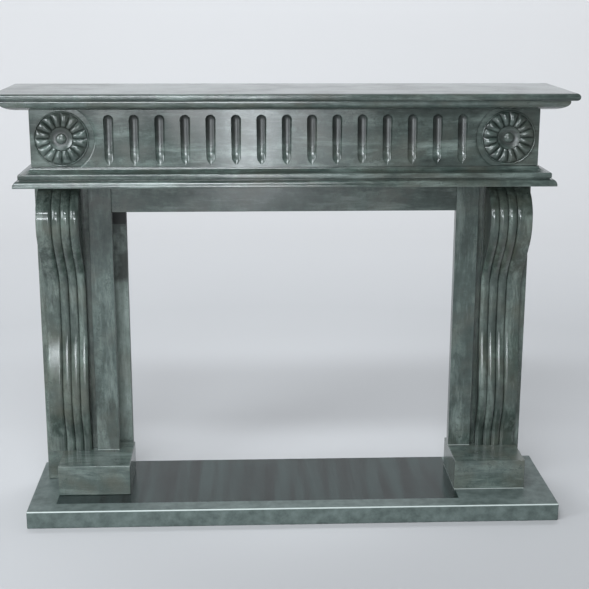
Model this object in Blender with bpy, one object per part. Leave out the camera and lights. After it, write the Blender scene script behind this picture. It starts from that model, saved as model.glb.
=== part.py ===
# Polished green marble fireplace: hearth, reeded console legs, slips, fluted frieze and moulded shelf.
# Metres, +X to the right seen from the room, +Y into the wall, +Z up, origin under the middle.
import bpy
import bmesh
import math

# Joints between touching stones
JOINT = 0.0003
ARRIS = 0.003
FINE_ARRIS = 0.001

# Fire opening and uprights, side by side from the opening outwards
OPENING_WIDTH = 0.966
SLIP_WIDTH = 0.064
SLIP_THICKNESS = 0.030
HEADER_HEIGHT = 0.095
QUIRK_WIDTH = 0.015
QUIRK_DEPTH = 0.018
REED_COUNT = 3
REED_PITCH = 0.0246
REED_RISE = 0.007
FILLET_WIDTH = 0.0412
FILLET_ROUND = 0.010
CONSOLE_MARGIN = 0.015

# Console legs: height, depth and the stages of their curve from the top down
LEG_HEIGHT = 0.800
LEG_DEPTH = 0.130
CONSOLE_BACK = 0.066
CONSOLE_BULGE = 0.104
CONSOLE_WAIST = 0.003
CONSOLE_KNEE = 0.034
SHOULDER_DROP = 0.017
SHOULDER_HEIGHT = 0.085
BULGE_HEIGHT = 0.015
THROAT_HEIGHT = 0.200
KNEE_RISE = 0.200
KNEE_FALL = 0.110
FOOT_HEIGHT = 0.043

# Side panel behind each leg, and the panel that shows inside the opening on the left
RETURN_THICKNESS = 0.030
CHEEK_WIDTH = 0.110
CHEEK_THICKNESS = 0.030
CHEEK_REACH = 0.030

# Bed moulding between the legs and the frieze
BED_HEIGHT = 0.050
BED_OVERHANG = 0.045
BED_FILLET = 0.003
BED_STEP = 0.002
BED_EDGE = 0.002
LOWER_OVOLO_RUN = 0.012
LOWER_OVOLO_RISE = 0.015
NOSE_ROUND = 0.004
COVE_RUN = 0.026
COVE_RISE = 0.014

# Frieze
FRIEZE_HEIGHT = 0.152
FRIEZE_THICKNESS = 0.050
FRIEZE_RETURN_THICKNESS = 0.030
FRIEZE_PROJECTION = 0.130
FRIEZE_INSET = 0.016
FIELD_RISE = 0.004
FLUTE_COUNT = 15
FLUTE_END_MARGIN = 0.0385
FLUTE_WIDTH = 0.027
FLUTE_FOOT_WIDTH = 0.0235
FLUTE_DEPTH = 0.011
FLUTE_FOOT_DEPTH = 0.007
FLUTE_RAMP = 0.034
FLUTE_FOOT_CURVE = 0.020
FLUTE_HEAD_MARGIN = 0.013
FLUTE_FOOT_MARGIN = 0.006

# Carved roundels in the frieze
ROUNDEL_MARGIN = 0.003
ROUNDEL_END_MARGIN = 0.0095
ROUNDEL_SEAT = 0.013
ROUNDEL_GROUND = 0.0015
RIM_WIDTH = 0.006
RIM_RISE = 0.005
PETAL_COUNT = 16
PETAL_INNER_RADIUS = 0.028
PETAL_RISE = 0.008
BOSS_RADIUS = 0.014
BOSS_RISE = 0.010

# Shelf and the moulding under it
CORNICE_HEIGHT = 0.027
CORNICE_SETBACK = 0.020
CORNICE_FILLET = 0.004
CORNICE_FOOT = 0.008
SHELF_THICKNESS = 0.020
SHELF_OVERHANG = 0.084

# Base: the hearth stands a little to the right, and its blocks a little closer than the legs
HEARTH_THICKNESS = 0.050
HEARTH_MARGIN = 0.048
HEARTH_APRON = 0.110
HEARTH_SHIFT = 0.020
PLINTH_WIDTH = 0.202
PLINTH_HEIGHT = 0.087
PLINTH_PROJECTION = 0.125
PLINTH_INSET = 0.020

# How finely the curves are drawn, and how full the carved shapes are
SHELF_STEPS = 10
NOSE_STEPS = 3
OVOLO_STEPS = 9
BED_STEPS = 6
FLUTE_STEPS = 6
FLUTE_HEAD_STEPS = 4
FLUTE_RAMP_STEPS = 3
FLUTE_FOOT_STEPS = 3
SEAT_STEPS = 12
FLUTE_POINT = 0.75
PETAL_STEPS = 4
PETAL_FULLNESS = 0.6
BOSS_DOME = 0.8
KNEE_FULLNESS = 1.3
REED_STEPS = 6
FILLET_STEPS = 3
KNEE_STEPS = 4
THROAT_STEPS = 7
SHOULDER_STEPS = 6
SMOOTH_ANGLE = 32

# Colours of the polished stone, linear
SLAB_GREEN = (0.13, 0.20, 0.17)
CARVED_GREEN = (0.12, 0.19, 0.16)
SLIP_GREEN = (0.19, 0.25, 0.23)
DARK_GREEN = (0.08, 0.12, 0.11)

# Levels, from the floor up
HEARTH_TOP = HEARTH_THICKNESS
PLINTH_TOP = HEARTH_TOP + PLINTH_HEIGHT
LEG_TOP = PLINTH_TOP + LEG_HEIGHT
BED_TOP = LEG_TOP + BED_HEIGHT
FRIEZE_TOP = BED_TOP + FRIEZE_HEIGHT
CORNICE_TOP = FRIEZE_TOP + CORNICE_HEIGHT

# Stages of the console's curve, as heights above its foot
SHOULDER_TOP = LEG_HEIGHT - SHOULDER_DROP
BULGE_TOP = SHOULDER_TOP - SHOULDER_HEIGHT
BULGE_FOOT = BULGE_TOP - BULGE_HEIGHT
WAIST = BULGE_FOOT - THROAT_HEIGHT
KNEE = FOOT_HEIGHT + KNEE_FALL
KNEE_TOP = KNEE + KNEE_RISE

# Planes, from the wall forward
HEARTH_DEPTH = LEG_DEPTH + PLINTH_PROJECTION + HEARTH_APRON
WALL_Y = HEARTH_DEPTH / 2
SLIP_Y = WALL_Y - LEG_DEPTH
FRIEZE_Y = SLIP_Y - FRIEZE_PROJECTION
FRIEZE_BACK = FRIEZE_Y + FRIEZE_THICKNESS

# Sides, from the opening outwards
SLIP_INNER = OPENING_WIDTH / 2
SLIP_OUTER = SLIP_INNER + SLIP_WIDTH
CONSOLE_INNER = SLIP_OUTER + QUIRK_WIDTH
CONSOLE_WIDTH = REED_COUNT * REED_PITCH + FILLET_WIDTH
LEG_OUTER = CONSOLE_INNER + CONSOLE_WIDTH + CONSOLE_MARGIN
FRIEZE_HALF = LEG_OUTER - FRIEZE_INSET
HEARTH_HALF = LEG_OUTER + HEARTH_MARGIN

# Roundels and the field of flutes between them
ROUNDEL_RADIUS = FRIEZE_HEIGHT / 2 - ROUNDEL_MARGIN
ROUNDEL_X = FRIEZE_HALF - ROUNDEL_END_MARGIN - ROUNDEL_RADIUS
ROUNDEL_Z = BED_TOP + FRIEZE_HEIGHT / 2
PETAL_OUTER_RADIUS = ROUNDEL_RADIUS - RIM_WIDTH
SEAT_RADIUS = ROUNDEL_RADIUS + ROUNDEL_SEAT
FIELD_HALF = ROUNDEL_X - SEAT_RADIUS
FIELD_Y = FRIEZE_Y - FIELD_RISE
FLUTE_PITCH = 2 * (FIELD_HALF - FLUTE_END_MARGIN) / (FLUTE_COUNT - 1)
FLUTE_HEAD = FRIEZE_TOP - FLUTE_HEAD_MARGIN
FLUTE_FOOT = BED_TOP + FLUTE_FOOT_MARGIN

SIDES = ((-1, "left"), (1, "right"))


def clear_scene():
    for item in list(bpy.data.objects):
        bpy.data.objects.remove(item, do_unlink=True)


def marble(name, colour):
    """A polished stone with a clear gloss."""
    material = bpy.data.materials.new(name)
    material.use_nodes = True
    shader = material.node_tree.nodes["Principled BSDF"]
    shader.inputs["Base Color"].default_value = (*colour, 1)
    shader.inputs["Roughness"].default_value = 0.16
    shader.inputs["Metallic"].default_value = 0.0
    return material


def finish(name, bm, colour):
    """Turn a bmesh into a named stone with its own material."""
    bmesh.ops.recalc_face_normals(bm, faces=bm.faces)
    mesh = bpy.data.meshes.new(name)
    bm.to_mesh(mesh)
    bm.free()
    stone = bpy.data.objects.new(name, mesh)
    bpy.context.collection.objects.link(stone)
    mesh.materials.append(marble(name + "_marble", colour))
    mesh.shade_smooth()
    mesh.set_sharp_from_angle(angle=math.radians(SMOOTH_ANGLE))
    return stone


def arc(centre, radii, start, end, steps):
    """Points along a quarter or half of an ellipse, angles in degrees."""
    points = []
    for step in range(steps + 1):
        angle = math.radians(start + (end - start) * step / steps)
        points.append((centre[0] + radii[0] * math.cos(angle), centre[1] + radii[1] * math.sin(angle)))
    return points


def bridge(bm, rings):
    """Join each closed ring of points to the next with a band of faces."""
    count = len(rings[0])
    for first, second in zip(rings, rings[1:]):
        for i in range(count):
            j = (i + 1) % count
            bm.faces.new((first[i], first[j], second[j], second[i]))


def prism(name, outline, height, colour, arris=0.0):
    """A sawn stone with one outline from foot to top, its edges eased by a small arris."""
    bm = bmesh.new()
    rings = [[bm.verts.new((x, y, level)) for x, y in outline] for level in height]
    bridge(bm, rings)
    for ring in rings:
        bm.faces.new(ring)
    stone = finish(name, bm, colour)
    if arris:
        bevel = stone.modifiers.new("Arris", "BEVEL")
        bevel.width = arris
        bevel.segments = 1
        bevel.limit_method = "ANGLE"
    return stone


def block(name, width, depth, height, colour, arris=0.0):
    """A rectangular stone between six planes."""
    left, right = width
    front, back = depth
    outline = [(left, back), (left, front), (right, front), (right, back)]
    return prism(name, outline, height, colour, arris)


def moulded_slab(name, base, profile, colour):
    """A slab whose front and two ends carry one moulding, with a sawn back.

    Each profile point is a projection past the frieze and a height above the slab's base.
    """
    bm = bmesh.new()
    rings = []
    for projection, height in profile:
        side = FRIEZE_HALF + projection
        face = FRIEZE_Y - projection
        corners = [(-side, WALL_Y), (-side, face), (side, face), (side, WALL_Y)]
        rings.append([bm.verts.new((x, y, base + height)) for x, y in corners])
    bridge(bm, rings)
    bm.faces.new(rings[0])
    bm.faces.new(rings[-1])
    return finish(name, bm, colour)


def build_shelf():
    """The shelf slab, with a rounded nose on three sides."""
    radius = SHELF_THICKNESS / 2
    nose = arc((SHELF_OVERHANG - radius, radius), (radius, radius - JOINT / 2), -90, 90, SHELF_STEPS)
    profile = [(projection, height + JOINT / 2) for projection, height in nose]
    moulded_slab("mantel_shelf", CORNICE_TOP, profile, SLAB_GREEN)


def build_cornice():
    """The moulding under the shelf: a fillet over a broad ovolo."""
    outer = SHELF_OVERHANG - CORNICE_SETBACK
    curve_height = CORNICE_HEIGHT - CORNICE_FILLET - 2 * JOINT
    centre = (CORNICE_FOOT, CORNICE_HEIGHT - CORNICE_FILLET - JOINT)
    ovolo = arc(centre, (outer - CORNICE_FOOT, curve_height), -90, 0, OVOLO_STEPS)
    profile = ovolo + [(outer, CORNICE_HEIGHT - JOINT)]
    moulded_slab("cornice_moulding", FRIEZE_TOP, profile, SLAB_GREEN)


def build_bed_moulding():
    """The course over the legs: a quarter-round, a ledge, then a rounded nose with a cove behind it."""
    ledge = BED_FILLET + LOWER_OVOLO_RISE
    top = BED_HEIGHT - JOINT
    lower_centre = BED_OVERHANG - LOWER_OVOLO_RUN
    nose_centre = BED_EDGE + COVE_RUN
    nose_foot = ledge + BED_STEP + NOSE_ROUND
    nose_top = top - COVE_RISE - NOSE_ROUND
    profile = [(BED_OVERHANG, JOINT)]
    profile += arc((lower_centre, BED_FILLET), (LOWER_OVOLO_RUN, LOWER_OVOLO_RISE), 0, 90, BED_STEPS)
    profile.append((nose_centre, ledge))
    profile += arc((nose_centre, nose_foot), (NOSE_ROUND, NOSE_ROUND), -90, 0, NOSE_STEPS)
    profile += arc((nose_centre, nose_top), (NOSE_ROUND, NOSE_ROUND), 0, 90, NOSE_STEPS)
    profile += arc((nose_centre, top), (COVE_RUN, COVE_RISE), 270, 180, BED_STEPS)[1:]
    moulded_slab("bed_moulding", LEG_TOP, profile, SLAB_GREEN)


def flute_rows():
    """Height, half width and depth down one flute: round head, long slot, ramp and pointed foot."""
    shoulder = FLUTE_HEAD - FLUTE_WIDTH / 2
    length = shoulder - FLUTE_FOOT
    rows = []
    for step in range(1, FLUTE_HEAD_STEPS):
        angle = math.pi / 2 * step / FLUTE_HEAD_STEPS
        height = shoulder + FLUTE_WIDTH / 2 * math.cos(angle)
        rows.append((height, FLUTE_WIDTH / 2 * math.sin(angle), FLUTE_DEPTH * math.sin(angle)))
    levels = [length]
    for step in range(FLUTE_RAMP_STEPS):
        levels.append(FLUTE_RAMP + (FLUTE_FOOT_CURVE - FLUTE_RAMP) * step / FLUTE_RAMP_STEPS)
    for step in range(FLUTE_FOOT_STEPS):
        levels.append(FLUTE_FOOT_CURVE * (1 - math.sin(math.pi / 2 * step / FLUTE_FOOT_STEPS)))
    for level in levels:
        width = FLUTE_FOOT_WIDTH + (FLUTE_WIDTH - FLUTE_FOOT_WIDTH) * level / length
        if level < FLUTE_FOOT_CURVE:
            width *= math.sin(math.pi / 2 * level / FLUTE_FOOT_CURVE) ** FLUTE_POINT
        if level < FLUTE_RAMP:
            depth = FLUTE_FOOT_DEPTH * math.sin(math.pi / 2 * level / FLUTE_RAMP)
        else:
            run = (level - FLUTE_RAMP) / (length - FLUTE_RAMP)
            depth = FLUTE_FOOT_DEPTH + (FLUTE_DEPTH - FLUTE_FOOT_DEPTH) * run
        rows.append((FLUTE_FOOT + level, width / 2, depth))
    return rows


def flute_cutter(bm, centre_x):
    """One flute as a closed body that stands a little proud of the field it is cut into."""
    proud = FIELD_Y - FIELD_RISE
    rings = []
    for height, half, depth in flute_rows():
        ring = []
        for step in range(FLUTE_STEPS + 1):
            angle = math.pi * step / FLUTE_STEPS
            x = centre_x - half * math.cos(angle)
            ring.append(bm.verts.new((x, FIELD_Y + depth * math.sin(angle), height)))
        ring.append(bm.verts.new((centre_x + half, proud, height)))
        ring.append(bm.verts.new((centre_x - half, proud, height)))
        rings.append(ring)
    bridge(bm, rings)
    for ring, height in ((rings[0], FLUTE_HEAD), (rings[-1], FLUTE_FOOT)):
        tip = bm.verts.new((centre_x, FIELD_Y, height))
        front = bm.verts.new((centre_x, proud, height))
        hollow, right, left = ring[:-2], ring[-2], ring[-1]
        for first, second in zip(hollow, hollow[1:]):
            bm.faces.new((first, second, tip))
        bm.faces.new((hollow[-1], right, front, tip))
        bm.faces.new((left, hollow[0], tip, front))
        bm.faces.new((right, left, front))


def fluted_field(bm):
    """The raised field between the roundels, its two ends hollowed to follow them."""
    half = FRIEZE_HEIGHT / 2 - JOINT
    limit = math.asin(half / SEAT_RADIUS)
    outline = []
    for side in (-1, 1):
        for step in range(SEAT_STEPS + 1):
            angle = limit * (2 * step / SEAT_STEPS - 1)
            x = side * (ROUNDEL_X - SEAT_RADIUS * math.cos(angle))
            outline.append((x, ROUNDEL_Z + side * SEAT_RADIUS * math.sin(angle)))
    rings = []
    for y in (FIELD_Y, FRIEZE_Y + FRIEZE_THICKNESS / 2):
        rings.append([bm.verts.new((x, y, z)) for x, z in outline])
    bridge(bm, rings)
    bm.faces.new(rings[0])
    bm.faces.new(rings[1])


def roundel_rise(radius, turn):
    """Height of the carving above the frieze: domed boss, sunk ring, lobed petals, flat rim."""
    if radius <= BOSS_RADIUS:
        return BOSS_RISE * math.sqrt(1 - BOSS_DOME * (radius / BOSS_RADIUS) ** 2)
    if radius <= PETAL_INNER_RADIUS:
        return ROUNDEL_GROUND
    if radius <= PETAL_OUTER_RADIUS:
        along = (radius - PETAL_INNER_RADIUS) / (PETAL_OUTER_RADIUS - PETAL_INNER_RADIUS)
        lobe = abs(math.sin(PETAL_COUNT * turn / 2))
        return ROUNDEL_GROUND + PETAL_RISE * abs(math.sin(math.pi * along)) ** PETAL_FULLNESS * lobe
    return RIM_RISE


def roundel(bm, centre_x):
    """A carved rosette as a closed body, its back buried in the slab."""
    petal_length = PETAL_OUTER_RADIUS - PETAL_INNER_RADIUS
    radii = [BOSS_RADIUS * share for share in (0.5, 0.85, 1.0, 1.15)]
    radii += [PETAL_INNER_RADIUS + petal_length * share for share in (0.0, 0.12, 0.35, 0.65, 0.88, 1.0)]
    radii += [PETAL_OUTER_RADIUS + RIM_WIDTH * share for share in (0.15, 0.85)]
    count = PETAL_STEPS * PETAL_COUNT
    turns = [2 * math.pi * step / count for step in range(count)]
    rings = []
    for radius in radii:
        rings.append([])
        for turn in turns:
            x = centre_x + radius * math.cos(turn)
            z = ROUNDEL_Z + radius * math.sin(turn)
            rings[-1].append(bm.verts.new((x, FRIEZE_Y - roundel_rise(radius, turn), z)))
    for y in (FRIEZE_Y - RIM_RISE / 2, FRIEZE_Y + FRIEZE_THICKNESS / 2):
        rings.append([])
        for turn in turns:
            x = centre_x + ROUNDEL_RADIUS * math.cos(turn)
            rings[-1].append(bm.verts.new((x, y, ROUNDEL_Z + ROUNDEL_RADIUS * math.sin(turn))))
    bridge(bm, rings)
    crown = bm.verts.new((centre_x, FRIEZE_Y - BOSS_RISE, ROUNDEL_Z))
    for i in range(count):
        bm.faces.new((rings[0][i], rings[0][(i + 1) % count], crown))
    bm.faces.new(rings[-1])


def helper(name, bm):
    """A body used only to shape another: hidden, and drawn as wire."""
    bmesh.ops.recalc_face_normals(bm, faces=bm.faces)
    mesh = bpy.data.meshes.new(name)
    bm.to_mesh(mesh)
    bm.free()
    body = bpy.data.objects.new(name, mesh)
    bpy.context.collection.objects.link(body)
    body.hide_render = True
    body.display_type = "WIRE"
    return body


def combine(stone, body, operation):
    """Add or cut away a helper body with a Boolean modifier."""
    change = stone.modifiers.new(body.name, "BOOLEAN")
    change.operation = operation
    change.solver = "EXACT"
    change.object = body


def build_frieze():
    """The frieze: one slab with a raised fluted field and a roundel at each end, and two side returns."""
    low = BED_TOP + JOINT
    high = FRIEZE_TOP - JOINT
    frieze = block("frieze", (-FRIEZE_HALF, FRIEZE_HALF), (FRIEZE_Y, FRIEZE_BACK), (low, high), CARVED_GREEN)
    field = bmesh.new()
    fluted_field(field)
    combine(frieze, helper("fluted_field", field), "UNION")
    flutes = bmesh.new()
    for index in range(FLUTE_COUNT):
        flute_cutter(flutes, (index - (FLUTE_COUNT - 1) / 2) * FLUTE_PITCH)
    combine(frieze, helper("flutes", flutes), "DIFFERENCE")
    for side, label in SIDES:
        carving = bmesh.new()
        roundel(carving, side * ROUNDEL_X)
        combine(frieze, helper(label + "_roundel", carving), "UNION")
        width = sorted((side * FRIEZE_HALF, side * (FRIEZE_HALF - FRIEZE_RETURN_THICKNESS)))
        depth = (FRIEZE_BACK + JOINT, WALL_Y)
        block(label + "_frieze_return", width, depth, (low, high), CARVED_GREEN, FINE_ARRIS)


def console_projection(height):
    """How far the console stands in front of the slips at a height above its foot.

    A round shoulder, a short full bulge, an S-shaped throat, a straight shank, then a lower knee.
    """
    if height >= SHOULDER_TOP:
        return 0.0
    if height >= BULGE_TOP:
        share = (height - BULGE_TOP) / SHOULDER_HEIGHT
        return CONSOLE_BULGE * math.sqrt(max(0.0, 1 - share ** 2))
    if height >= BULGE_FOOT:
        return CONSOLE_BULGE
    if height >= WAIST:
        swell = math.cos(math.pi / 2 * (BULGE_FOOT - height) / THROAT_HEIGHT) ** 2
        return CONSOLE_WAIST + (CONSOLE_BULGE - CONSOLE_WAIST) * swell
    if height >= KNEE:
        away = min(1.0, (height - KNEE) / KNEE_RISE)
    else:
        away = min(1.0, (KNEE - height) / KNEE_FALL)
    return CONSOLE_WAIST + (CONSOLE_KNEE - CONSOLE_WAIST) * math.cos(math.pi / 2 * away) ** KNEE_FULLNESS


def console_levels():
    """Heights at which the console's section is drawn, close together where it turns."""
    levels = {0.0, FOOT_HEIGHT, BULGE_FOOT, LEG_HEIGHT}
    for step in range(KNEE_STEPS):
        levels.add(KNEE - KNEE_FALL * step / KNEE_STEPS)
        levels.add(KNEE_TOP - KNEE_RISE * step / KNEE_STEPS)
    for step in range(THROAT_STEPS):
        levels.add(WAIST + THROAT_HEIGHT * step / THROAT_STEPS)
    for step in range(SHOULDER_STEPS + 1):
        levels.add(BULGE_TOP + SHOULDER_HEIGHT * math.sin(math.pi / 2 * step / SHOULDER_STEPS))
    return sorted(levels)


def reed_section():
    """Across the console from its inner side: reeds as round ribs, then a flat with a round edge."""
    section = []
    for reed in range(REED_COUNT):
        for step in range(REED_STEPS):
            angle = math.pi * step / REED_STEPS
            across = REED_PITCH * (reed + 0.5 - 0.5 * math.cos(angle))
            section.append((across, REED_RISE * math.sin(angle) - REED_RISE))
    edge = REED_PITCH * REED_COUNT + FILLET_ROUND
    section += arc((edge, -REED_RISE), (FILLET_ROUND, REED_RISE), 180, 90, FILLET_STEPS)
    section.append((CONSOLE_WIDTH, 0.0))
    return section


def build_console(side, label):
    """A carved leg: reeds and a flat over an S-shaped bracket, with a sunk quirk beside the slip."""
    bm = bmesh.new()
    inner = SLIP_OUTER + JOINT
    outer = CONSOLE_INNER + CONSOLE_WIDTH
    back = SLIP_Y + CONSOLE_BACK
    quirk = SLIP_Y + QUIRK_DEPTH
    margin = SLIP_Y + JOINT
    rings = []
    for level in console_levels():
        projection = console_projection(level)
        height = PLINTH_TOP + min(max(level, JOINT), LEG_HEIGHT - JOINT)
        fade = min(1.0, (projection + QUIRK_DEPTH) / (REED_RISE + QUIRK_DEPTH))
        line = [(inner, back), (inner, quirk), (CONSOLE_INNER, quirk)]
        for across, relief in reed_section():
            line.append((CONSOLE_INNER + across, SLIP_Y - projection - relief * fade))
        line += [(outer, margin), (LEG_OUTER, margin), (LEG_OUTER, back)]
        rings.append([bm.verts.new((side * x, y, height)) for x, y in line])
    bridge(bm, rings)
    bm.faces.new(rings[0])
    bm.faces.new(rings[-1])
    return finish(label + "_console", bm, CARVED_GREEN)


def build_legs():
    """Each side: console, slip and outer return, with the header slip between the slips."""
    high = LEG_TOP - JOINT
    leg = (PLINTH_TOP + JOINT, high)
    panel = (HEARTH_TOP + JOINT, high)
    slip_depth = (SLIP_Y, SLIP_Y + SLIP_THICKNESS)
    for side, label in SIDES:
        build_console(side, label)
        width = sorted((side * SLIP_INNER, side * SLIP_OUTER))
        block(label + "_slip", width, slip_depth, leg, SLIP_GREEN, FINE_ARRIS)
        width = sorted((side * LEG_OUTER, side * (LEG_OUTER - RETURN_THICKNESS)))
        depth = (SLIP_Y + CONSOLE_BACK + JOINT, WALL_Y)
        block(label + "_outer_return", width, depth, panel, SLAB_GREEN, FINE_ARRIS)
    inner = SLIP_INNER - JOINT
    lintel = (LEG_TOP - HEADER_HEIGHT, high)
    block("header_slip", (-inner, inner), slip_depth, lintel, SLIP_GREEN, FINE_ARRIS)
    edge = CHEEK_REACH - SLIP_INNER
    depth = (WALL_Y - CHEEK_THICKNESS, WALL_Y)
    block("left_cheek_panel", (edge - CHEEK_WIDTH, edge), depth, panel, DARK_GREEN, FINE_ARRIS)


def build_base():
    """The hearth slab and the two plinth blocks, each reaching out at the back to carry its leg."""
    width = (HEARTH_SHIFT - HEARTH_HALF, HEARTH_SHIFT + HEARTH_HALF)
    block("hearth_slab", width, (WALL_Y - HEARTH_DEPTH, WALL_Y), (0, HEARTH_TOP), SLAB_GREEN, ARRIS)
    front = SLIP_Y - PLINTH_PROJECTION
    back = SLIP_Y + CONSOLE_BACK
    height = (HEARTH_TOP + JOINT, PLINTH_TOP)
    for side, label in SIDES:
        inner = HEARTH_SHIFT + side * (SLIP_INNER - PLINTH_INSET)
        outer = inner + side * PLINTH_WIDTH
        outline = [(inner, back), (inner, front), (outer, front)]
        if side * outer < LEG_OUTER - JOINT:
            reach = side * LEG_OUTER
            outline += [(outer, SLIP_Y), (reach, SLIP_Y), (reach, back)]
        else:
            outline.append((outer, back))
        prism(label + "_plinth_block", outline, height, SLAB_GREEN, FINE_ARRIS)


clear_scene()
build_base()
build_legs()
build_bed_moulding()
build_frieze()
build_cornice()
build_shelf()
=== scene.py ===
# Looks of the polished green marble fireplace: fine carving, rounded arrises, streaked stone, studio
import bmesh
import bpy
import math
import numpy as np
from mathutils import Matrix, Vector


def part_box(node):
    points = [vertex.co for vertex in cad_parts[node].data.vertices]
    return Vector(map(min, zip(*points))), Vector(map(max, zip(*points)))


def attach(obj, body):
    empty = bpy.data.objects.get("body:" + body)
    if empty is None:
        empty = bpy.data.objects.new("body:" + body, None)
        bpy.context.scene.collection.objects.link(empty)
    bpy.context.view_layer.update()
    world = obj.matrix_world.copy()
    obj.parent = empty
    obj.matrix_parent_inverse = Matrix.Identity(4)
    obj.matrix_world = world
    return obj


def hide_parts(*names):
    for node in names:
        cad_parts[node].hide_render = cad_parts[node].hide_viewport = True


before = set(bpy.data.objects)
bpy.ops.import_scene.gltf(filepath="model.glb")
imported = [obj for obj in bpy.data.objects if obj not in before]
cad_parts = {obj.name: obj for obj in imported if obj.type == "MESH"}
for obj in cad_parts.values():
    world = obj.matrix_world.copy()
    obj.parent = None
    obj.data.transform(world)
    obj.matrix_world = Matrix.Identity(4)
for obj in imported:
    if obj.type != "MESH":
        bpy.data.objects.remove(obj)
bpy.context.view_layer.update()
print("frame loaded")


def edges(node):
    # lowest and highest corner of a stone in the fixed frame, as plain arrays
    low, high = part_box(node)
    return np.array(low), np.array(high)


# Meshes: every surface is a grid of points worked out as whole arrays

def gridFaces(rows, columns, start=0, closed=False):
    # quads between neighbouring points of a grid; closed joins the last column to the first
    index = np.arange(rows * columns).reshape(rows, columns) + start
    if closed:
        index = np.hstack([index, index[:, :1]])
    return np.stack([index[:-1, :-1], index[:-1, 1:], index[1:, 1:], index[1:, :-1]], -1).reshape(-1, 4)


def makePiece(name, nodes, bodies, material, sharpAngle=38):
    # each body is a grid whose rows are closed rings, with one flat face over its first and last ring;
    # a grid's fourth value says how deep in a hollow of the carving the point lies, from 0 to 1, and sets
    # its painted shade and dullness
    points, faces, start = [], [], 0
    for grid in bodies:
        rows, columns, parts = grid.shape
        points.append(np.pad(grid.reshape(-1, parts), ((0, 0), (0, 4 - parts))))
        faces += gridFaces(rows, columns, start, True).tolist()
        faces.append(list(range(start, start + columns)))
        faces.append(list(range(start + (rows - 1) * columns, start + rows * columns)))
        start += rows * columns
    mesh = bpy.data.meshes.new(name)
    points = np.vstack(points)
    mesh.from_pydata(points[:, :3].tolist(), [], faces)
    mesh.attributes.new("hollow", "FLOAT", "POINT").data.foreach_set("value", points[:, 3])
    stone = bpy.data.objects.new(name, mesh)
    bpy.context.scene.collection.objects.link(stone)
    mesh.materials.append(material)
    joined = bmesh.new()
    joined.from_mesh(mesh)
    bmesh.ops.remove_doubles(joined, verts=joined.verts, dist=0.00002)
    bmesh.ops.recalc_face_normals(joined, faces=joined.faces)
    joined.to_mesh(mesh)
    joined.free()
    mesh.shade_smooth()
    mesh.set_sharp_from_angle(angle=math.radians(sharpAngle))
    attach(stone, "root")
    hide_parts(*nodes)
    return stone


# Materials

def linear(hexColour):
    # an sRGB hex colour as linear light
    values = [int(hexColour[i:i + 2], 16) / 255 for i in (1, 3, 5)]
    return [v / 12.92 if v <= 0.04045 else ((v + 0.055) / 1.055) ** 2.4 for v in values] + [1.0]


def addNode(tree, kind, links=None, ramp=None, **settings):
    # one shader node with its settings, its inputs as values or sockets, and a colour ramp's stops
    made = tree.nodes.new(kind)
    for key, value in settings.items():
        setattr(made, key, value)
    for key, value in (links or {}).items():
        if isinstance(value, bpy.types.NodeSocket):
            tree.links.new(value, made.inputs[key])
        else:
            made.inputs[key].default_value = value
    if ramp:
        stops = made.color_ramp.elements
        while len(stops) < len(ramp):
            stops.new(0.5)
        for stop, (place, colour) in zip(stops, ramp):
            stop.position = place
            stop.color = colour
    return made


def noise(tree, place, scale, detail, roughness=0.55):
    return addNode(tree, "ShaderNodeTexNoise", {"Vector": place, "Scale": scale, "Detail": detail,
                                                "Roughness": roughness}).outputs[0]


def remap(tree, value, low, high, least=0.0, most=1.0):
    # low to high becomes least to most, held steady beyond both ends
    return addNode(tree, "ShaderNodeMapRange", {0: value, 1: low, 2: high, 3: least, 4: most}).outputs[0]


def calculate(tree, operation, first, second=0.0):
    return addNode(tree, "ShaderNodeMath", {0: first, 1: second}, operation=operation).outputs[0]


def mixValue(tree, amount, first, second):
    return addNode(tree, "ShaderNodeMix", {0: amount, 2: first, 3: second}, data_type="FLOAT").outputs[0]


def blend(tree, amount, first, second):
    return addNode(tree, "ShaderNodeMix", {0: amount, 6: first, 7: second}, data_type="RGBA").outputs[2]


def vectorMath(tree, operation, links):
    return addNode(tree, "ShaderNodeVectorMath", links, operation=operation).outputs[0]


# Dark green marble sawn along its bedding and polished: soft streaks that run with each stone, broken up
# by mottling, brownish clouds, foggy pale wisps, thin dark veins, crystal grain, and a soft reflection
marble = {
    "streakLength": 0.110, "streakWidth": 0.018, "mottle": 0.030, "cloud": 0.11, "wisp": 0.42,
    "vein": 0.060, "grain": 0.0016, "bend": 0.070, "wave": 0.060, "waveHeight": 0.0005, "ior": 1.56,
    "roughness": (0.15, 0.27), "borderDull": 0.22, "cheekDull": 0.35, "jointHeight": 0.0022,
    "hollowShade": 0.30, "hollowDull": 0.20,
}
shades = {
    "slab": ("#212926", "#38423e", "#59655f", "#41433c", "#7d8984"),
    "carved": ("#202825", "#36403c", "#58645f", "#3f423b", "#7b8882"),
    "leg": ("#262e2a", "#3d4742", "#5f6b64", "#484a40", "#808c85"),
    # the cheek panel: slip stone painted lighter, painted light where the panel stands back in shade
    "cheekPaintedLighter": ("#4d5852", "#6c7872", "#8a9690", "#6f7168", "#9ea8a2"),
    "slip": ("#252e2a", "#3c4743", "#5c6862", "#484a43", "#7e8a84"),
    "plinth": ("#323b37", "#495450", "#64706a", "#56584f", "#838f89"),
}
# colours of the hearth's rubbed border, of its darker field, partly painted reflection, of the painted
# highlight on its arris, of the cheek panel's dark blotches and painted shade, and of the mortar in the
# joints
stainsAndPaintedLight = {"rubbed": ("#454f4c", "#5f6a67"), "field": ("#0f1715", "#243230"), "arrisHighlight": "#b4bdb9",
          "darkBlotchAndGapShade": "#0a0c0b", "mortar": "#c6cdc9"}
# the painted highlight on the hearth's front arris, in the fixed frame
paintedArrisHighlight = {"height": 0.0470, "front": -0.1804, "soft": 0.0008}
axes = {"x": 0, "y": 1, "z": 2}


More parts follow.
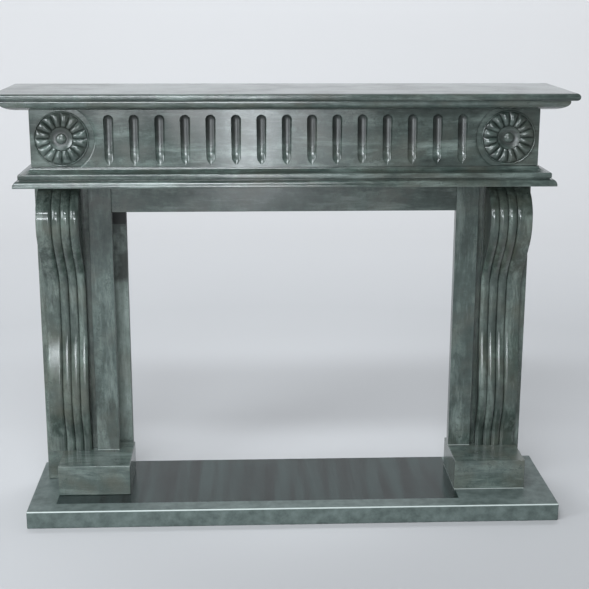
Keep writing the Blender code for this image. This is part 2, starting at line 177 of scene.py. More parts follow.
def hearthWearAndPaintedLight(tree, split, moved, mottle, colour, gloss, border):
    # a pale matt border in front of border's first value and beyond its two sides
    front, left, right = border
    aside = calculate(tree, "SUBTRACT", split.outputs["X"], (left + right) / 2)
    aside = calculate(tree, "SUBTRACT", calculate(tree, "ABSOLUTE", aside), (right - left) / 2)
    ahead = calculate(tree, "SUBTRACT", front, split.outputs["Y"])
    outside = remap(tree, calculate(tree, "MAXIMUM", aside, ahead), -0.002, 0.002)
    rubbed = blend(tree, remap(tree, mottle, 0.34, 0.66), *map(linear, stainsAndPaintedLight["rubbed"]))
    # the polished field is painted much darker, partly its own deeper polished tone and partly painted dark
    # reflection, with faint front-to-back bands of painted reflection
    across = addNode(tree, "ShaderNodeMapping", {"Vector": moved, "Scale": (30.0, 2.0, 1.0)}).outputs[0]
    reflectionBands = remap(tree, noise(tree, across, 1.0, 4.0), 0.36, 0.64)
    field = blend(tree, reflectionBands, *map(linear, stainsAndPaintedLight["field"]))
    colour = blend(tree, outside, field, rubbed)
    # a painted highlight: its front arris is painted pale
    level, face, soft = paintedArrisHighlight["height"], paintedArrisHighlight["front"], paintedArrisHighlight["soft"]
    arrisHighlight = calculate(tree, "MULTIPLY", remap(tree, split.outputs["Z"], level - soft, level + soft),
                     remap(tree, split.outputs["Y"], face - soft, face + soft, 1.0, 0.0))
    colour = blend(tree, arrisHighlight, colour, linear(stainsAndPaintedLight["arrisHighlight"]))
    return colour, calculate(tree, "ADD", gloss, calculate(tree, "MULTIPLY", outside, marble["borderDull"]))


def blotchesAndPaintedGapShade(tree, split, cloud, colour, gloss, blotchAndShadeHeights):
    # dark blotches that grow denser with height, then black above the last height: painted shade standing
    # for the dark gap above the panel
    blotchFoot, gapShadeFoot = blotchAndShadeHeights
    lift = remap(tree, split.outputs["Z"], blotchFoot, gapShadeFoot, -0.22, 0.10)
    blotch = remap(tree, calculate(tree, "ADD", cloud, lift), 0.44, 0.56, 0.0, 0.75)
    paintedGapShade = remap(tree, split.outputs["Z"], gapShadeFoot - 0.006, gapShadeFoot, 0.0, 0.97)
    darkBlotchAndGapShade = calculate(tree, "MAXIMUM", blotch, paintedGapShade)
    colour = blend(tree, darkBlotchAndGapShade, colour, linear(stainsAndPaintedLight["darkBlotchAndGapShade"]))
    return colour, calculate(tree, "ADD", gloss, marble["cheekDull"])


def mortarLine(tree, split, cloud, colour, joint):
    # pale mortar left in the joint at the foot, broken up along its length
    foot = remap(tree, split.outputs["Z"], joint, joint + marble["jointHeight"], 0.9, 0.0)
    foot = calculate(tree, "MULTIPLY", foot, remap(tree, cloud, 0.34, 0.46))
    return blend(tree, foot, colour, linear(stainsAndPaintedLight["mortar"]))


def polishedMarble(name, shade, along, offset, border=None, blotchAndShadeHeights=None, joint=None, shine=0.5, duller=0.0):
    material = bpy.data.materials.new(name)
    material.use_nodes = True
    tree = material.node_tree
    shader = tree.nodes["Principled BSDF"]
    place = addNode(tree, "ShaderNodeTexCoord").outputs["Object"]
    split = addNode(tree, "ShaderNodeSeparateXYZ", {0: place})
    moved = vectorMath(tree, "ADD", {0: place, 1: offset})

    # slow bends in the bedding, up to 20 mm sideways over half a metre
    bend = addNode(tree, "ShaderNodeTexNoise", {"Vector": moved, "Scale": 2.2, "Detail": 2.0})
    bend = vectorMath(tree, "SUBTRACT", {0: bend.outputs["Color"], 1: (0.5, 0.5, 0.5)})
    bent = vectorMath(tree, "MULTIPLY_ADD", {0: bend, 1: [marble["bend"]] * 3, 2: moved})
    scale = [1 / marble["streakWidth"]] * 3
    scale[axes[along]] = 1 / marble["streakLength"]
    layered = addNode(tree, "ShaderNodeMapping", {"Vector": bent, "Scale": scale}).outputs[0]

    # bedding streaks, broad and fine, evened with mottling that runs no way in particular
    dark, middle, light, brown, pale = [linear(colour) for colour in shades[shade]]
    broad = noise(tree, layered, 0.5, 5.0, 0.64)
    fine = noise(tree, layered, 1.9, 5.0, 0.66)
    mottle = noise(tree, bent, 1 / marble["mottle"], 6.0, 0.66)
    streaks = mixValue(tree, 0.34, mixValue(tree, 0.27, broad, fine), mottle)
    colour = addNode(tree, "ShaderNodeValToRGB", {"Fac": streaks},
                     ramp=[(0.34, dark), (0.50, middle), (0.66, light)]).outputs["Color"]

    # clouds that turn the green towards brown, and wisps of paler stone drawn out along the bedding
    cloud = noise(tree, bent, 1 / marble["cloud"], 4.0)
    colour = blend(tree, remap(tree, cloud, 0.46, 0.72, 0.0, 0.75), colour, brown)
    wisp = noise(tree, layered, marble["wisp"], 5.0, 0.7)
    colour = blend(tree, remap(tree, wisp, 0.52, 0.70, 0.0, 0.48), colour, pale)

    # thin dark veins where a slow pattern crosses its middle value, fading in and out
    vein = noise(tree, bent, 1 / marble["vein"], 4.0, 0.6)
    line = calculate(tree, "ABSOLUTE", calculate(tree, "SUBTRACT", vein, 0.5))
    line = remap(tree, line, 0.0, 0.012, 0.6, 0.0)
    line = calculate(tree, "MULTIPLY", line, remap(tree, broad, 0.45, 0.6))
    colour = blend(tree, line, colour, dark)

    # crystal grain: real grains are about half this size, drawn coarser so they show
    grain = noise(tree, moved, 1 / marble["grain"], 1.0)
    speck = remap(tree, grain, 0.3, 0.7, 0.87, 1.11)
    colour = vectorMath(tree, "SCALE", {0: colour, "Scale": speck})
    gloss = remap(tree, cloud, 0.3, 0.7, *[value + duller for value in marble["roughness"]])

    if border:
        colour, gloss = hearthWearAndPaintedLight(tree, split, moved, mottle, colour, gloss, border)
    if blotchAndShadeHeights:
        colour, gloss = blotchesAndPaintedGapShade(tree, split, cloud, colour, gloss, blotchAndShadeHeights)
    if joint:
        colour = mortarLine(tree, split, cloud, colour, joint)

    # painted shade darkens the hollows of the carving; they are also duller, because the polishing pad
    # doesn't reach them
    deep = addNode(tree, "ShaderNodeAttribute", attribute_name="hollow").outputs["Fac"]
    shaded = remap(tree, deep, 0.0, 1.0, 1.0, marble["hollowShade"])
    colour = vectorMath(tree, "SCALE", {0: colour, "Scale": shaded})
    gloss = calculate(tree, "ADD", gloss, calculate(tree, "MULTIPLY", deep, marble["hollowDull"]))

    # polishing leaves very shallow waves that bend long reflections a little
    height = noise(tree, moved, 1 / marble["wave"], 1.0)
    bump = addNode(tree, "ShaderNodeBump", {"Height": height, "Strength": 0.25,
                                            "Distance": marble["waveHeight"]}).outputs[0]
    tree.links.new(colour, shader.inputs["Base Color"])
    tree.links.new(gloss, shader.inputs["Roughness"])
    tree.links.new(bump, shader.inputs["Normal"])
    shader.inputs["IOR"].default_value = marble["ior"]
    shader.inputs["Specular IOR Level"].default_value = shine
    return material


# Sawn slabs and blocks with rounded arrises

def roundedPrism(outline, foot, top, radius, steps=4):
    # an upright stone on a right-angled outline, anticlockwise: quarter-round outer corners and edges, with
    # a line of points half a radius further in on every flat so that the flats shade flat
    corner = np.array(outline, float)
    run = np.roll(corner, -1, 0) - corner
    run /= np.linalg.norm(run, axis=1, keepdims=True)
    after = np.stack([-run[:, 1], run[:, 0]], -1)[:, None]
    before = np.roll(after, 1, 0)
    previous = np.roll(run, 1, 0)
    hollow = previous[:, 0] * run[:, 1] - previous[:, 1] * run[:, 0] < 0
    turn = np.linspace(0, math.pi / 2, steps + 1)
    cosine, sine = np.cos(turn)[None, :, None], np.sin(turn)[None, :, None]
    core = corner[:, None] + radius * (before + after)

    def ring(inset, height):
        reach = radius - inset
        first = core - reach * before + radius / 2 * after
        last = core - reach * after + radius / 2 * before
        line = np.concatenate([first, core - reach * (cosine * before + sine * after), last], 1)
        line[hollow] = (corner[:, None] + inset * (before + after))[hollow]
        line = line.reshape(-1, 2)
        return np.hstack([line, np.full((len(line), 1), height)])

    inner = np.repeat(corner[:, None] + 1.5 * radius * (before + after), steps + 3, 1).reshape(-1, 2)
    caps = [np.hstack([inner, np.full((len(inner), 1), height)]) for height in (foot, top)]
    rise = [(radius * (1 - math.sin(angle)), radius * (1 - math.cos(angle))) for angle in turn]
    rise.append((0.0, 1.5 * radius))
    lower = [ring(inset, foot + up) for inset, up in rise]
    upper = [ring(inset, top - up) for inset, up in reversed(rise)]
    return np.stack([caps[0], *lower, *upper, caps[1]])


def rectangle(low, high):
    return [(low[0], low[1]), (high[0], low[1]), (high[0], high[1]), (low[0], high[1])]


slabs = {
    "hearth_slab": {"shade": "slab", "along": "x", "arris": 0.0030, "offset": (0.3, 0.1, 0.7)},
    "left_plinth_block": {"shade": "plinth", "along": "x", "arris": 0.0016, "offset": (1.7, 0.5, 0.2)},
    "right_plinth_block": {"shade": "plinth", "along": "x", "arris": 0.0016, "offset": (2.9, 0.2, 0.8)},
    "left_slip": {"shade": "slip", "along": "z", "arris": 0.0012, "offset": (0.9, 1.3, 0.4)},
    "right_slip": {"shade": "slip", "along": "z", "arris": 0.0012, "offset": (3.1, 0.6, 0.5)},
    "header_slip": {"shade": "slip", "along": "x", "arris": 0.0012, "offset": (1.2, 2.4, 0.9)},
    "left_outer_return": {"shade": "slab", "along": "z", "arris": 0.0012, "offset": (4.2, 0.8, 0.1)},
    "right_outer_return": {"shade": "slab", "along": "z", "arris": 0.0012, "offset": (5.3, 0.3, 0.6)},
    "left_cheek_panel": {"shade": "cheekPaintedLighter", "along": "z", "arris": 0.0012, "offset": (2.2, 3.5, 0.3)},
    "left_frieze_return": {"shade": "slab", "along": "y", "arris": 0.0010, "offset": (1.1, 4.1, 0.9)},
    "right_frieze_return": {"shade": "slab", "along": "y", "arris": 0.0010, "offset": (6.4, 1.8, 0.2)},
}
# border: front, left and right edge of the dark field; joint: top of the mortar; the cheek's blotch and
# shade setting: foot of the dark blotches and of the black painted shade, all in the fixed frame; shine:
# strength of the reflection
wearAndPaintedLight = {
    "hearth_slab": {"border": (-0.1305, -0.645, 0.487), "shine": 0.22},
    "right_plinth_block": {"joint": 0.0518},
    "left_slip": {"joint": 0.1378},
    "right_slip": {"joint": 0.1378},
    "left_cheek_panel": {"blotchAndShadeHeights": (0.35, 0.79), "shine": 0.35},
}
slipFace = edges("left_slip")[0][1]
plinthWidth = 0.202  # width of each block's front part
for node, setting in slabs.items():
    low, high = edges(node)
    outline = rectangle(low, high)
    if node == "left_plinth_block":
        # the back part of each block reaches out under its leg, the front part keeps its own width
        step = high[0] - plinthWidth
        outline = [(step, low[1]), (high[0], low[1]), high[:2], (low[0], high[1]), (low[0], slipFace),
                   (step, slipFace)]
    if node == "right_plinth_block":
        step = low[0] + plinthWidth
        outline = [low[:2], (step, low[1]), (step, slipFace), (high[0], slipFace), high[:2],
                   (low[0], high[1])]
    material = polishedMarble(node + "PolishedMarble", setting["shade"], setting["along"], setting["offset"],
                              **wearAndPaintedLight.get(node, {}))
    makePiece(node + "_stone", [node],
              [roundedPrism(outline, low[2], high[2], setting["arris"])], material)
print("slabs and blocks made")


# Moulded courses: a profile carried along the two ends and the front, with mitred corners

friezeLow, friezeHigh = edges("frieze")
half, wall = friezeHigh[0], edges("bed_moulding")[1][1]
bossRise = 0.010  # the roundel's boss is the frieze's foremost point
groundY = friezeLow[1] + bossRise


def arc(centreX, centreZ, radiusX, radiusZ, start, end, steps):
    # points along part of an ellipse, angles in degrees
    angle = np.radians(np.linspace(start, end, steps + 1))
    return np.stack([centreX + radiusX * np.cos(angle), centreZ + radiusZ * np.sin(angle)], -1)


def mouldedCourse(profile, base):
    # at each profile point the course runs wall, left end, front, right end, wall at that projection;
    # one more ring a millimetre inside each flat keeps the flats flat
    ends = profile[[0, -1]] - [0.001, 0.0]
    profile = np.vstack([ends[:1], profile, ends[1:]])
    out, rise = profile[:, 0], profile[:, 1]
    corners = np.zeros((len(profile), 4, 3))
    corners[:, 0, 0] = corners[:, 1, 0] = -half - out
    corners[:, 2, 0] = corners[:, 3, 0] = half + out
    corners[:, 0, 1] = corners[:, 3, 1] = wall
    corners[:, 1, 1] = corners[:, 2, 1] = groundY - out
    corners[:, :, 2] = (base + rise)[:, None]
    return [corners]


course = {
    "fillet": 0.004, "corniceFoot": 0.008, "edge": 0.0008,
    "bedFillet": 0.003, "bedStep": 0.002, "bedEdge": 0.002, "lowerRun": 0.012, "lowerRise": 0.015,
    "noseRound": 0.004, "coveRun": 0.026, "coveRise": 0.014,
}

low, high = edges("mantel_shelf")
out, tall = high[0] - half, high[2] - low[2]
nose = arc(out - tall / 2, tall / 2, tall / 2, tall / 2, -90, 90, 28)
makePiece("mantel_shelf_stone", ["mantel_shelf"], mouldedCourse(nose, low[2]),
          polishedMarble("shelfPolishedMarble", "slab", "x", (0.4, 2.1, 1.6), duller=-0.06))

low, high = edges("cornice_moulding")
out, tall = high[0] - half, high[2] - low[2]
lip, edge = course["fillet"], course["edge"]
cornice = np.vstack([
    arc(course["corniceFoot"], tall - lip, out - course["corniceFoot"], tall - lip, -90, -2, 30),
    [[out, tall - lip]],
    arc(out - edge, tall - edge, edge, edge, 0, 90, 3)])
# the cornice is drawn in the lighter plinth colours: painted light, making up for its downward-facing curve
makePiece("cornice_moulding_stone", ["cornice_moulding"], mouldedCourse(cornice, low[2]),
          polishedMarble("cornicePolishedMarble", "plinth", "x", (3.4, 1.1, 2.6), duller=-0.06))

low, high = edges("bed_moulding")
out, tall = high[0] - half, high[2] - low[2]
ledge = course["bedFillet"] + course["lowerRise"]
noseX, noseRound = course["bedEdge"] + course["coveRun"], course["noseRound"]
noseFoot = ledge + course["bedStep"] + noseRound
noseTop = tall - course["coveRise"] - noseRound
bed = np.vstack([
    arc(out - edge, edge, edge, edge, -90, 0, 3),
    arc(out - course["lowerRun"], course["bedFillet"], course["lowerRun"], course["lowerRise"], 0, 90, 18),
    [[noseX, ledge]],
    arc(noseX, noseFoot, noseRound, noseRound, -90, 0, 8),
    arc(noseX, noseTop, noseRound, noseRound, 0, 90, 8),
    arc(noseX, tall, course["coveRun"], course["coveRise"], 270, 180, 20)[1:]])
makePiece("bed_moulding_stone", ["bed_moulding"], mouldedCourse(bed, low[2]),
          polishedMarble("bedPolishedMarble", "slab", "x", (5.7, 0.4, 1.2), duller=-0.06))
print("moulded courses made")


# Frieze: a raised field with fifteen flutes between two carved roundels

frieze = {
    "fluteCount": 15, "flutePitch": 0.067, "fluteWidth": 0.027, "footWidth": 0.0235, "fluteDepth": 0.011,
    "footDepth": 0.007, "ramp": 0.034, "footCurve": 0.020, "point": 0.75, "headMargin": 0.013,
    "footMargin": 0.006, "polishedUnshadedFoot": 0.030, "shadeDullFrom": 0.002, "shadeDullAt": 0.008,
    "fieldRise": 0.004, "bevel": 0.009, "recess": 0.012, "recessSide": 0.490,
    "roundelRadius": 0.073, "roundelX": 0.5935, "seat": 0.086, "rimWidth": 0.0045, "rimRise": 0.0048,
    "petals": 16, "petalInner": 0.030, "petalRise": 0.0078, "bossRadius": 0.0135,
    "dishInner": 0.0165, "dishRise": 0.0042, "ground": 0.0012, "bossFullness": 0.80, "dishPower": 1.6,
    "lobePower": 0.7, "petalPower": 0.55, "shadeDullBelow": 0.006,
}


def fluteSection(z, top, foot):
    # half width and depth of a flute at each height: half-round head, a slot that narrows and grows
    # shallower downwards, then a quarter-sine ramp out to a pointed foot
    f = frieze
    radius = f["fluteWidth"] / 2
    length = top - radius - foot
    level = np.clip(z - foot, 0, length)
    head = np.sqrt(np.clip(1 - (np.clip(z - foot - length, 0, radius) / radius) ** 2, 0, 1))
    width = f["footWidth"] + (f["fluteWidth"] - f["footWidth"]) * level / length
    tip = np.sin(math.pi / 2 * np.clip(level / f["footCurve"], 0, 1)) ** f["point"]
    run = (level - f["ramp"]) / (length - f["ramp"])
    slot = f["footDepth"] + (f["fluteDepth"] - f["footDepth"]) * run
    ramp = f["footDepth"] * np.sin(math.pi / 2 * level / f["ramp"])
    return np.maximum(width / 2 * tip * head, 0.0002), np.where(level < f["ramp"], ramp, slot) * head


def fieldBody():
    # rings in plan, one per height: columns follow the flutes' outlines, so each edge stays crisp, and
    # both ends fall in a bevel to follow the roundel
    f = frieze
    low, high = friezeLow[2], friezeHigh[2]
    top, foot = high - f["headMargin"], low + f["footMargin"]
    radius = f["fluteWidth"] / 2
    quarter = np.linspace(0, math.pi / 2, 14)
    z = np.concatenate([
        np.linspace(high, top, 5)[:-1], top - radius + radius * np.cos(quarter),
        np.linspace(top - radius, foot + f["ramp"], 22)[1:],
        np.linspace(foot + f["ramp"], foot + f["footCurve"], 12)[1:],
        foot + f["footCurve"] * np.linspace(1, 0, 14)[1:] ** 1.4, np.linspace(foot, low, 4)[1:]])
    halfWidth, depth = fluteSection(z, top, foot)
    centres = (np.arange(f["fluteCount"]) - (f["fluteCount"] - 1) / 2) * f["flutePitch"]
    across = np.sin(np.linspace(-math.pi / 2, math.pi / 2, 17))
    panel = np.array([0.04, 0.5, 0.96])

    # flutes and the panels between them: (height, flute, point across)
    fluteX = centres[None, :, None] + halfWidth[:, None, None] * across
    fluteDepth = np.broadcast_to((depth[:, None] * np.sqrt(1 - across ** 2))[:, None], fluteX.shape)
    start, end = fluteX[:, :-1, -1:], fluteX[:, 1:, :1]
    panelX = start + (end - start) * panel
    panelDepth = np.zeros_like(panelX)
    rows = len(z)
    x = np.hstack([np.concatenate([fluteX[:, :-1], panelX], 2).reshape(rows, -1), fluteX[:, -1]])
    inward = np.concatenate([fluteDepth[:, :-1], panelDepth], 2).reshape(rows, -1)
    inward = np.hstack([inward, fluteDepth[:, -1]])

    # right end from the last flute to the hollow that follows the roundel, mirrored for the left end
    endX = f["roundelX"] - np.sqrt(f["seat"] ** 2 - (z - (low + high) / 2) ** 2)
    plain = np.linspace(0, 1, 7)[1:]
    fall = np.linspace(0, 1, 9)[1:]
    flat = x[:, -1:] + (endX[:, None] - f["bevel"] - x[:, -1:]) * plain
    bevel = endX[:, None] - f["bevel"] + f["bevel"] * fall
    endDepth = np.concatenate([np.zeros(len(plain)), f["fieldRise"] * (1 - np.sqrt(1 - fall ** 2))])
    backX = np.stack([endX, np.full(rows, f["recessSide"]), np.full(rows, f["recessSide"])], 1)
    backDepth = f["fieldRise"] + np.array([0.0005, 0.0005, f["recess"] - 0.0002])
    rightX = np.hstack([flat, bevel, backX])
    rightDepth = np.broadcast_to(np.concatenate([endDepth, backDepth]), rightX.shape)
    x = np.hstack([-rightX[:, ::-1], x, rightX])
    inward = np.hstack([rightDepth[:, ::-1], inward, rightDepth])
    # the painted shade and dullness stop short of the lowest part of each flute, which is polished like the
    # field, so its foot catches the light
    above = np.clip((z - foot) / f["polishedUnshadedFoot"] - 1, 0, 1)[:, None]
    hollow = np.clip((inward - f["shadeDullFrom"]) / (f["shadeDullAt"] - f["shadeDullFrom"]), 0, 1) * above
    return np.stack([x, groundY - f["fieldRise"] + inward, np.broadcast_to(z[:, None], x.shape), hollow], -1)


def roundelBody(centreX):
    # polar rings: domed boss, sunk ring, dish rising outwards, sixteen rounded petals, thin rim
    f = frieze
    outer = f["roundelRadius"] - f["rimWidth"]
    radius = np.concatenate([
        f["bossRadius"] * np.sin(np.linspace(0.02, math.pi / 2, 12)),
        np.linspace(f["bossRadius"] + 0.0006, f["dishInner"], 4),
        np.linspace(f["dishInner"], f["petalInner"], 12)[1:],
        f["petalInner"] + (outer - f["petalInner"]) * (0.5 - 0.5 * np.cos(np.linspace(0, math.pi, 24)))[1:],
        outer + f["rimWidth"] * np.array([0.12, 0.3, 0.5, 0.7, 0.88, 1.0])])
    turn = np.linspace(0, 2 * math.pi, f["petals"] * 14 + 1)[:-1]
    r, a = np.meshgrid(radius, turn, indexing="ij")
    boss = bossRise * np.sqrt(np.clip(1 - f["bossFullness"] * (r / f["bossRadius"]) ** 2, 0, 1))
    slope = np.clip((r - f["dishInner"]) / (f["petalInner"] - f["dishInner"]), 0, 1)
    dish = f["ground"] + f["dishRise"] * slope ** f["dishPower"]
    along = np.clip((r - f["petalInner"]) / (outer - f["petalInner"]), 0, 1)
    lobe = np.abs(np.sin(f["petals"] * a / 2)) ** f["lobePower"]
    petal = f["ground"] + f["petalRise"] * np.sin(math.pi * along) ** f["petalPower"] * lobe
    share = np.clip((r - outer) / f["rimWidth"], 0, 1)
    rim = f["rimRise"] * np.sqrt(np.clip(1 - (2 * share - 1) ** 2, 0, 1))
    rise = np.select([r <= f["bossRadius"], r <= f["petalInner"], r <= outer], [boss, dish, petal], rim)
    # painted shade and dullness in the low parts inside the rim, fading out as the carving rises
    hollow = np.where(r < outer, np.clip(1 - rise / f["shadeDullBelow"], 0, 1), 0)
    rise[-1] = -0.0005
    z = (friezeLow[2] + friezeHigh[2]) / 2
    return np.stack([centreX + r * np.cos(a), groundY - rise, z + r * np.sin(a), hollow], -1)


recess, recessSide = groundY + frieze["recess"] - frieze["fieldRise"], frieze["recessSide"]
plan = [(-half, groundY), (-recessSide, groundY), (-recessSide, recess), (recessSide, recess),
        (recessSide, groundY), (half, groundY), (half, friezeHigh[1]), (-half, friezeHigh[1])]
makePiece("frieze_stone", ["frieze"],
          [roundedPrism(plan, friezeLow[2], friezeHigh[2], 0.0012), fieldBody(),
           roundelBody(frieze["roundelX"]), roundelBody(-frieze["roundelX"])],
          polishedMarble("friezePolishedMarble", "carved", "x", (0.8, 0.9, 3.3), duller=-0.05), 34)
print("frieze made")


# Console legs: three reeds and a broad flat carried over an S-shaped bracket

console = {
    "reeds": 3, "pitch": 0.0246, "rise": 0.007, "flat": 0.0412, "round": 0.010, "edge": 0.0016,
    "quirkWidth": 0.015, "quirkDepth": 0.018, "bulge": 0.104, "waist": 0.003, "knee": 0.034,
    "shoulderDrop": 0.017, "shoulder": 0.085, "bulgeRun": 0.015, "throat": 0.200, "kneeRise": 0.200,
    "kneeFall": 0.110, "kneeFullness": 1.3, "foot": 0.043, "lap": 0.0003, "quirkShade": 0.15,
}


def bracketProjection(height, bulgeTop):
    # distance in front of the slips: quarter-round shoulder, short full bulge, cosine-squared throat,
    # straight shank, then a cosine knee above a straight foot
    c = console
    bulgeFoot = bulgeTop - c["bulgeRun"]
    waist = bulgeFoot - c["throat"]
    knee = c["foot"] + c["kneeFall"]
    over = np.clip((height - bulgeTop) / c["shoulder"], 0, 1)
    shoulder = c["bulge"] * np.sqrt(1 - over ** 2)
    share = np.clip((bulgeFoot - height) / c["throat"], 0, 1)
    throat = c["waist"] + (c["bulge"] - c["waist"]) * np.cos(math.pi / 2 * share) ** 2
    away = np.where(height > knee, (height - knee) / c["kneeRise"], (knee - height) / c["kneeFall"])
    away = np.clip(away, 0, 1)
    lower = c["waist"] + (c["knee"] - c["waist"]) * np.cos(math.pi / 2 * away) ** c["kneeFullness"]
    return np.select([height > bulgeTop + c["shoulder"], height >= bulgeTop, height >= waist],
                     [0.0, shoulder, throat], lower)


def consoleBody(node, side):
    # rings in plan, one per height: back, sunk quirk, reeds, flat and outer margin
    c = console
    low, high = edges(node)
    inner, outer = sorted((abs(low[0]), abs(high[0])))
    total = high[2] - low[2]
    bulgeTop = total - c["shoulderDrop"] - c["shoulder"]
    levels = np.concatenate([
        np.linspace(0, bulgeTop, 130),
        bulgeTop + c["shoulder"] * np.sin(np.linspace(0, math.pi / 2, 36))[1:],
        [bulgeTop + c["shoulder"] + 0.0004, total]])
    projection = bracketProjection(levels, bulgeTop)
    reed = np.linspace(0, math.pi, 15)[:-1]
    width, end = c["pitch"] * c["reeds"], c["pitch"] * c["reeds"] + c["flat"]
    starts = np.arange(c["reeds"])[:, None]
    ribs = (c["pitch"] * (starts + 0.5 - 0.5 * np.cos(reed))).ravel()
    ribRelief = np.tile(c["rise"] * np.sin(reed) - c["rise"], c["reeds"])
    rounding = arc(width + c["round"], -c["rise"], c["round"], c["rise"], 180, 90, 8)
    flat = np.array([[end - 3 * c["edge"], 0.0], [end - c["edge"], 0.0],
                     [end - 0.3 * c["edge"], -0.3 * c["edge"]], [end, -c["edge"]]])
    across = np.concatenate([ribs, rounding[:, 0], flat[:, 0]])
    relief = np.concatenate([ribRelief, rounding[:, 1], flat[:, 1]])
    fade = np.clip((projection + c["quirkDepth"]) / (c["rise"] + c["quirkDepth"]), 0, 1)
    start = inner + c["quirkWidth"] - c["lap"]
    quirk, margin, back = slipFace + c["quirkDepth"], slipFace + c["lap"], high[1]
    x = np.concatenate([[inner, inner, start], start + across, [start + end, outer - 0.001, outer, outer]])
    face = slipFace - projection[:, None] - relief[None, :] * fade[:, None]
    column = np.ones((len(levels), 1))
    y = np.hstack([column * back, column * quirk, column * quirk, face, column * margin, column * margin,
                   column * (margin + 0.001), column * back])
    z = np.broadcast_to((low[2] + levels)[:, None], y.shape)
    # painted shade and dullness: a little in the sunk quirk, more down in the valleys between the reeds
    hollow = np.zeros(len(x))
    hollow[1:3] = c["quirkShade"]
    hollow[3:3 + len(relief)] = np.clip(-relief / c["rise"], 0, 1) ** 3
    hollow[2 + len(relief)] = 0
    return np.stack([np.broadcast_to(side * x, y.shape), y, z, np.broadcast_to(hollow, y.shape)], -1)


for side, node, offset in ((-1, "left_console", (0.2, 1.9, 0.6)), (1, "right_console", (4.9, 2.7, 1.4))):
    makePiece(node + "_stone", [node], [consoleBody(node, side)],
              polishedMarble(node + "PolishedMarble", "leg", "z", offset, duller=-0.05), 42)
print("console legs made")


# Studio: pale floor that curves up behind, soft lights, and the camera of the photograph

studio = {"floor": "#b1b1b2", "back": 5.6, "front": -12.0, "side": 14.0, "curve": 1.8, "top": 6.0,
          "air": 0.34, "airColour": "#cbccce", "distance": "#d4d5d7", "lamp": "#f3f9fe", "glowStart": 2.2,
          "glowEnd": 7.5, "glow": 0.58}


def sweptFloor():
    # level floor, quarter-round cove and upright back in one sheet
    s = studio
    turn = np.linspace(0, math.pi / 2, 16)
    y = np.concatenate([[s["front"]], s["back"] - s["curve"] + s["curve"] * np.sin(turn), [s["back"]]])
    z = np.concatenate([[0.0], s["curve"] - s["curve"] * np.cos(turn), [s["top"]]])
    x = np.array([-s["side"], s["side"]])
    return np.stack([np.broadcast_to(x, (len(y), 2)), np.broadcast_to(y[:, None], (len(y), 2)),
                     np.broadcast_to(z[:, None], (len(y), 2))], -1)


grid = sweptFloor()
mesh = bpy.data.meshes.new("studioFloor")
mesh.from_pydata(grid.reshape(-1, 3).tolist(), [], gridFaces(*grid.shape[:2]).tolist())
mesh.shade_smooth()
floor = bpy.data.objects.new("studioFloor", mesh)
bpy.context.scene.collection.objects.link(floor)
paper = bpy.data.materials.new("paleStudioPaper")
paper.use_nodes = True
sheet = paper.node_tree.nodes["Principled BSDF"]
sheet.inputs["Base Color"].default_value = linear(studio["floor"])
sheet.inputs["Roughness"].default_value = 0.9
# far from the lamps the paper glows a little, so that it stays pale from every side
spot = addNode(paper.node_tree, "ShaderNodeTexCoord").outputs["Object"]
away = addNode(paper.node_tree, "ShaderNodeVectorMath", {0: spot}, operation="LENGTH").outputs["Value"]
glow = remap(paper.node_tree, away, studio["glowStart"], studio["glowEnd"], 0.0, studio["glow"])
paper.node_tree.links.new(glow, sheet.inputs["Emission Strength"])
sheet.inputs["Emission Color"].default_value = linear(studio["distance"])
mesh.materials.append(paper)

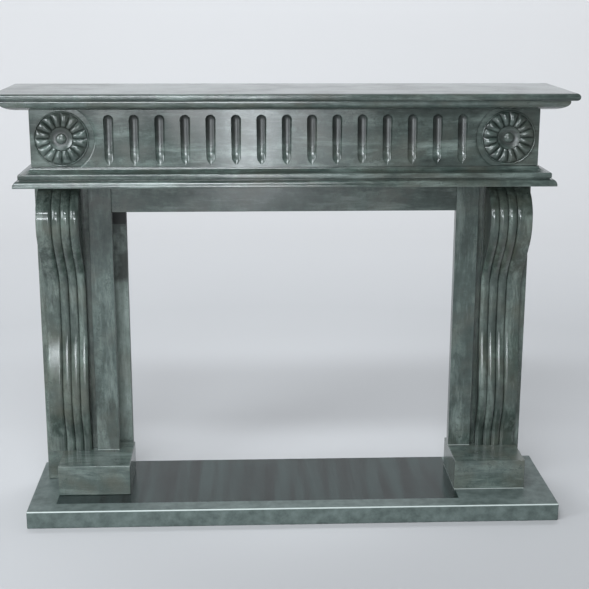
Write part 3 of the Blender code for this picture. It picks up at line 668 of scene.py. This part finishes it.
lights = {
    "ceiling": {"place": (-0.6, -2.15, 3.6), "aim": (-0.1, 0.1, 0.7), "size": (2.2, 0.40), "power": 88},
    "strip": {"place": (-0.7, -3.6, 2.75), "aim": (-0.2, 0.0, 0.8), "size": (1.8, 0.30), "power": 28},
    "window": {"place": (-1.3, -4.3, 1.75), "aim": (-0.3, 0.0, 0.9), "size": (3.0, 1.3), "power": 26},
    "glint": {"place": (-0.6, -4.0, 1.15), "aim": (0.0, 0.0, 0.6), "size": (2.2, 0.16), "power": 36},
    "panel": {"place": (0.10, -3.9, 0.60), "aim": (0.10, 0.0, 0.6), "size": (0.85, 0.7), "power": 3.5},
    "doorway": {"place": (-0.08, -3.85, 1.0), "aim": (-0.08, 0.0, 1.0), "size": (0.30, 1.7), "power": 13.0},
    "sidePanel": {"place": (-0.95, -4.0, 0.65), "aim": (-0.6, 0.0, 0.65), "size": (1.7, 1.1), "power": 1.5},
    "left": {"place": (-3.3, -2.4, 1.9), "aim": (-0.3, 0.0, 0.6), "size": (1.6, 2.2), "power": 95},
    "back": {"place": (0.0, 2.3, 4.2), "aim": (0.0, 3.4, 0.0), "size": (7.0, 2.0), "power": 200},
}
for name, setting in lights.items():
    data = bpy.data.lights.new(name, "AREA")
    data.shape = "ELLIPSE"
    data.size, data.size_y = setting["size"]
    data.energy = setting["power"]
    data.color = linear(studio["lamp"])[:3]
    lamp = bpy.data.objects.new(name, data)
    place = np.array(setting["place"])
    toward = np.array(setting["aim"]) - place
    yaw = math.atan2(-toward[0], toward[1])
    pitch = math.atan2(toward[2], math.hypot(toward[0], toward[1]))
    lamp.location = place
    lamp.rotation_euler = (math.pi / 2 + pitch, 0, yaw)
    lamp.visible_camera = False
    bpy.context.scene.collection.objects.link(lamp)

world = bpy.data.worlds.new("studioAir")
world.use_nodes = True
sky = world.node_tree
air = addNode(sky, "ShaderNodeBackground", {"Color": linear(studio["airColour"]), "Strength": studio["air"]})
distance = addNode(sky, "ShaderNodeBackground", {"Color": linear(studio["distance"])})
seen = addNode(sky, "ShaderNodeLightPath").outputs["Is Camera Ray"]
both = addNode(sky, "ShaderNodeMixShader", {0: seen, 1: air.outputs[0], 2: distance.outputs[0]})
sky.links.new(both.outputs[0], sky.nodes["World Output"].inputs["Surface"])
bpy.context.scene.world = world
bpy.context.scene.view_settings.view_transform = "Standard"

# camera fitted to points read off the photograph: focal length in pixels of a 589 pixel frame
view = {"focal": 1220.7, "frame": 589, "place": (-0.1200, -3.3147, 1.4608), "yaw": 2.509, "pitch": -14.302,
        "roll": 0.142}
data = bpy.data.cameras.new("photoCamera")
data.sensor_fit = "HORIZONTAL"
data.sensor_width = 36
data.lens = view["focal"] / view["frame"] * data.sensor_width
camera = bpy.data.objects.new("photoCamera", data)
turn = Matrix.Rotation(math.radians(-view["yaw"]), 4, "Z")
turn = turn @ Matrix.Rotation(math.radians(90 + view["pitch"]), 4, "X")
turn = turn @ Matrix.Rotation(math.radians(view["roll"]), 4, "Z")
camera.matrix_world = Matrix.Translation(view["place"]) @ turn
bpy.context.scene.collection.objects.link(camera)
bpy.context.scene.camera = camera
print("studio and camera set")
